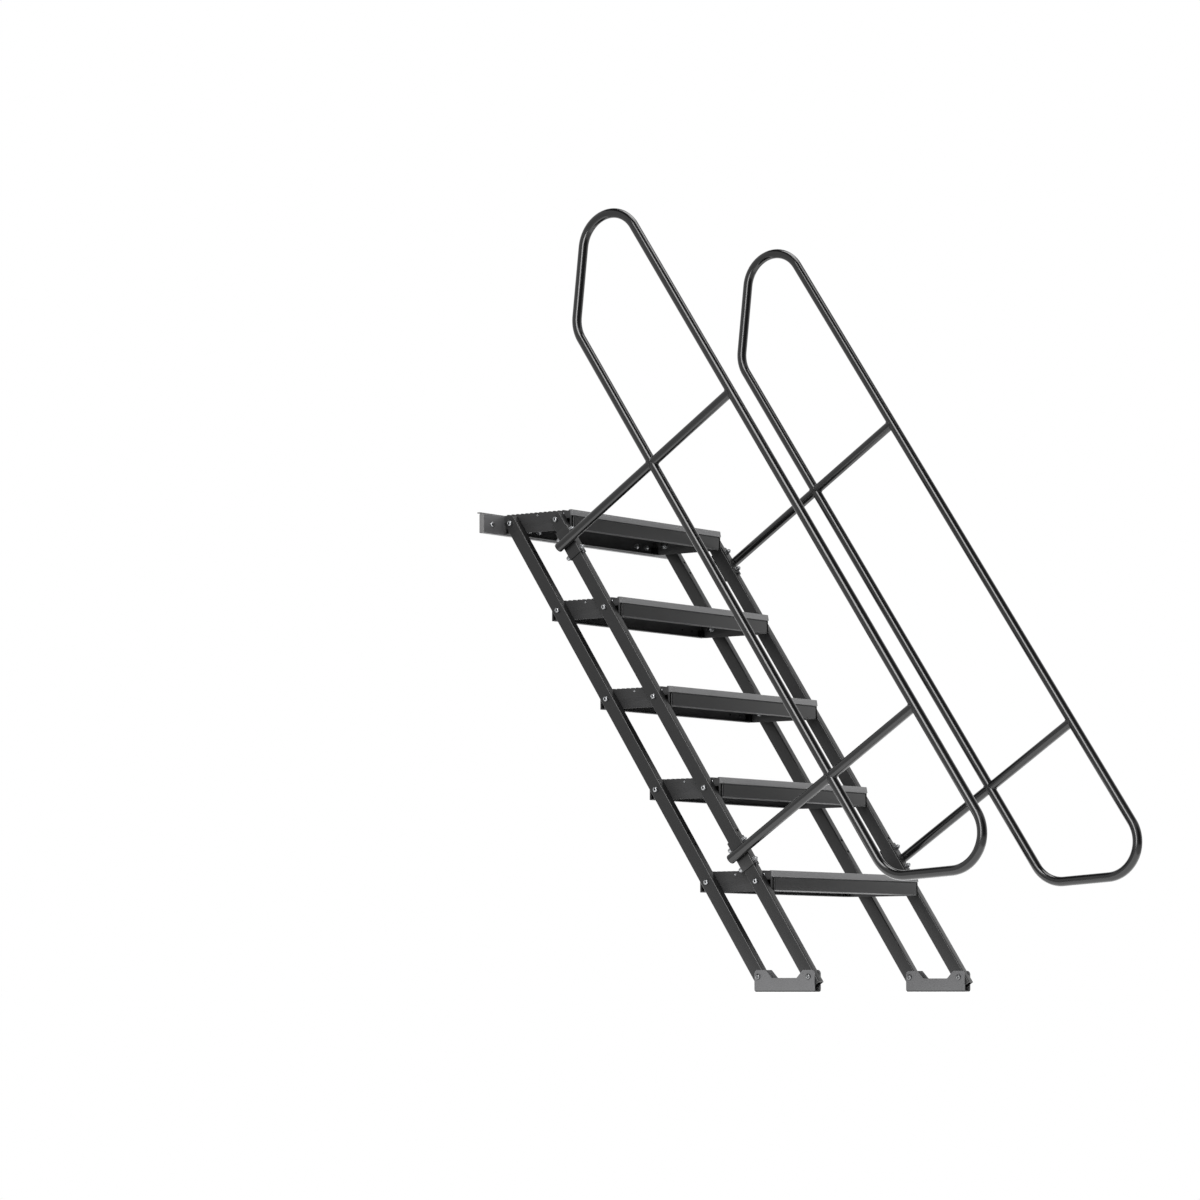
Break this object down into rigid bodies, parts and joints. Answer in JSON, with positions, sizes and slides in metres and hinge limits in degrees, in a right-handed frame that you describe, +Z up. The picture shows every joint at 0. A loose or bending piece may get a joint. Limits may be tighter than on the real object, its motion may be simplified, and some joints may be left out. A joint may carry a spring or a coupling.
{
  "type": "stage stairs",
  "caption": "Height-adjustable stage stairs whose level treads hang between parallel folding bars, with a tubular handrail each side and a rail that hooks over a stage edge.",
  "frame": {"origin": "middle of the hook rail's back face, which lies against the edge of the stage", "axes": "+Z up, +Y from the foot of the stairs towards the stage, +X to the right as one climbs"},
  "size_m": [0.9486, 1.7069, 2.2607],
  "materials": {
    "bar_coat": "satin charcoal powder coat",
    "tread_coat": "fine-textured charcoal powder coat",
    "handrail_coat": "semi-gloss charcoal powder coat",
    "foot_coat": "satin mid-grey powder coat",
    "hook_rail_metal": "dark anodised",
    "cap_plastic": "matt grey",
    "zinc_steel": "bright zinc plated"
  },
  "bodies": {
    "top_tread": {"tread_5": "tread_coat", "tread_5_left_end_plate": "tread_coat", "tread_5_right_end_plate": "tread_coat", "stage_hook_rail": "hook_rail_metal", "left_rail_cap": "cap_plastic", "right_rail_cap": "cap_plastic", "left_stage_bolt": "zinc_steel", "right_stage_bolt": "zinc_steel"},
    "rear_bars": {"left_rear_bar": "bar_coat", "right_rear_bar": "bar_coat", "left_foot_rear_pivot_bolt": "zinc_steel", "right_foot_rear_pivot_bolt": "zinc_steel", "tread_1_left_rear_pivot_bolt": "zinc_steel", "tread_2_left_rear_pivot_bolt": "zinc_steel", "tread_3_left_rear_pivot_bolt": "zinc_steel", "tread_4_left_rear_pivot_bolt": "zinc_steel", "tread_5_left_rear_pivot_bolt": "zinc_steel", "tread_1_right_rear_pivot_bolt": "zinc_steel", "tread_2_right_rear_pivot_bolt": "zinc_steel", "tread_3_right_rear_pivot_bolt": "zinc_steel", "tread_4_right_rear_pivot_bolt": "zinc_steel", "tread_5_right_rear_pivot_bolt": "zinc_steel"},
    "front_bars": {"left_front_bar": "bar_coat", "right_front_bar": "bar_coat", "left_foot_front_pivot_bolt": "zinc_steel", "right_foot_front_pivot_bolt": "zinc_steel", "tread_1_left_front_pivot_bolt": "zinc_steel", "tread_2_left_front_pivot_bolt": "zinc_steel", "tread_3_left_front_pivot_bolt": "zinc_steel", "tread_4_left_front_pivot_bolt": "zinc_steel", "tread_5_left_front_pivot_bolt": "zinc_steel", "tread_1_right_front_pivot_bolt": "zinc_steel", "tread_2_right_front_pivot_bolt": "zinc_steel", "tread_3_right_front_pivot_bolt": "zinc_steel", "tread_4_right_front_pivot_bolt": "zinc_steel", "tread_5_right_front_pivot_bolt": "zinc_steel", "left_handrail": "handrail_coat", "right_handrail": "handrail_coat", "left_lower_clamp_bottom_bolt": "zinc_steel", "left_lower_clamp_top_bolt": "zinc_steel", "left_upper_clamp_bottom_bolt": "zinc_steel", "left_upper_clamp_top_bolt": "zinc_steel", "right_lower_clamp_bottom_bolt": "zinc_steel", "right_lower_clamp_top_bolt": "zinc_steel", "right_upper_clamp_bottom_bolt": "zinc_steel", "right_upper_clamp_top_bolt": "zinc_steel"},
    "tread_1_body": {"tread_1": "tread_coat", "tread_1_left_end_plate": "tread_coat", "tread_1_right_end_plate": "tread_coat"},
    "tread_2_body": {"tread_2": "tread_coat", "tread_2_left_end_plate": "tread_coat", "tread_2_right_end_plate": "tread_coat"},
    "tread_3_body": {"tread_3": "tread_coat", "tread_3_left_end_plate": "tread_coat", "tread_3_right_end_plate": "tread_coat"},
    "tread_4_body": {"tread_4": "tread_coat", "tread_4_left_end_plate": "tread_coat", "tread_4_right_end_plate": "tread_coat"},
    "left_foot_body": {"left_foot": "foot_coat"},
    "right_foot_body": {"right_foot": "foot_coat"}
  },
  "joints": [
    {"name": "height_fold", "type": "hinge", "parent": "top_tread", "child": "rear_bars", "pos_m": [0, -0.0588, 0.003], "axis": [-1, 0, 0], "range_deg": [0, 29.3]},
    {"name": "front_bars_fold", "type": "hinge", "parent": "top_tread", "child": "front_bars", "pos_m": [0, -0.2273, 0.003], "axis": [-1, 0, 0], "range_deg": [0, 29.3]},
    {"name": "tread_1_level", "type": "hinge", "parent": "rear_bars", "child": "tread_1_body", "pos_m": [0, -0.76197, -1.05937], "axis": [1, 0, 0], "range_deg": [0, 29.3]},
    {"name": "tread_2_level", "type": "hinge", "parent": "rear_bars", "child": "tread_2_body", "pos_m": [0, -0.58618, -0.79378], "axis": [1, 0, 0], "range_deg": [0, 29.3]},
    {"name": "tread_3_level", "type": "hinge", "parent": "rear_bars", "child": "tread_3_body", "pos_m": [0, -0.41038, -0.52819], "axis": [1, 0, 0], "range_deg": [0, 29.3]},
    {"name": "tread_4_level", "type": "hinge", "parent": "rear_bars", "child": "tread_4_body", "pos_m": [0, -0.23459, -0.26259], "axis": [1, 0, 0], "range_deg": [0, 29.3]},
    {"name": "left_foot_level", "type": "hinge", "parent": "rear_bars", "child": "left_foot_body", "pos_m": [-0.3895, -0.93776, -1.32496], "axis": [1, 0, 0], "range_deg": [0, 29.3]},
    {"name": "right_foot_level", "type": "hinge", "parent": "rear_bars", "child": "right_foot_body", "pos_m": [0.3895, -0.93776, -1.32496], "axis": [1, 0, 0], "range_deg": [0, 29.3]}
  ],
  "couplings": [
    {"joint": "front_bars_fold", "follows": "height_fold", "ratio": 1},
    {"joint": "tread_1_level", "follows": "height_fold", "ratio": 1},
    {"joint": "tread_2_level", "follows": "height_fold", "ratio": 1},
    {"joint": "tread_3_level", "follows": "height_fold", "ratio": 1},
    {"joint": "tread_4_level", "follows": "height_fold", "ratio": 1},
    {"joint": "left_foot_level", "follows": "height_fold", "ratio": 1},
    {"joint": "right_foot_level", "follows": "height_fold", "ratio": 1}
  ]
}
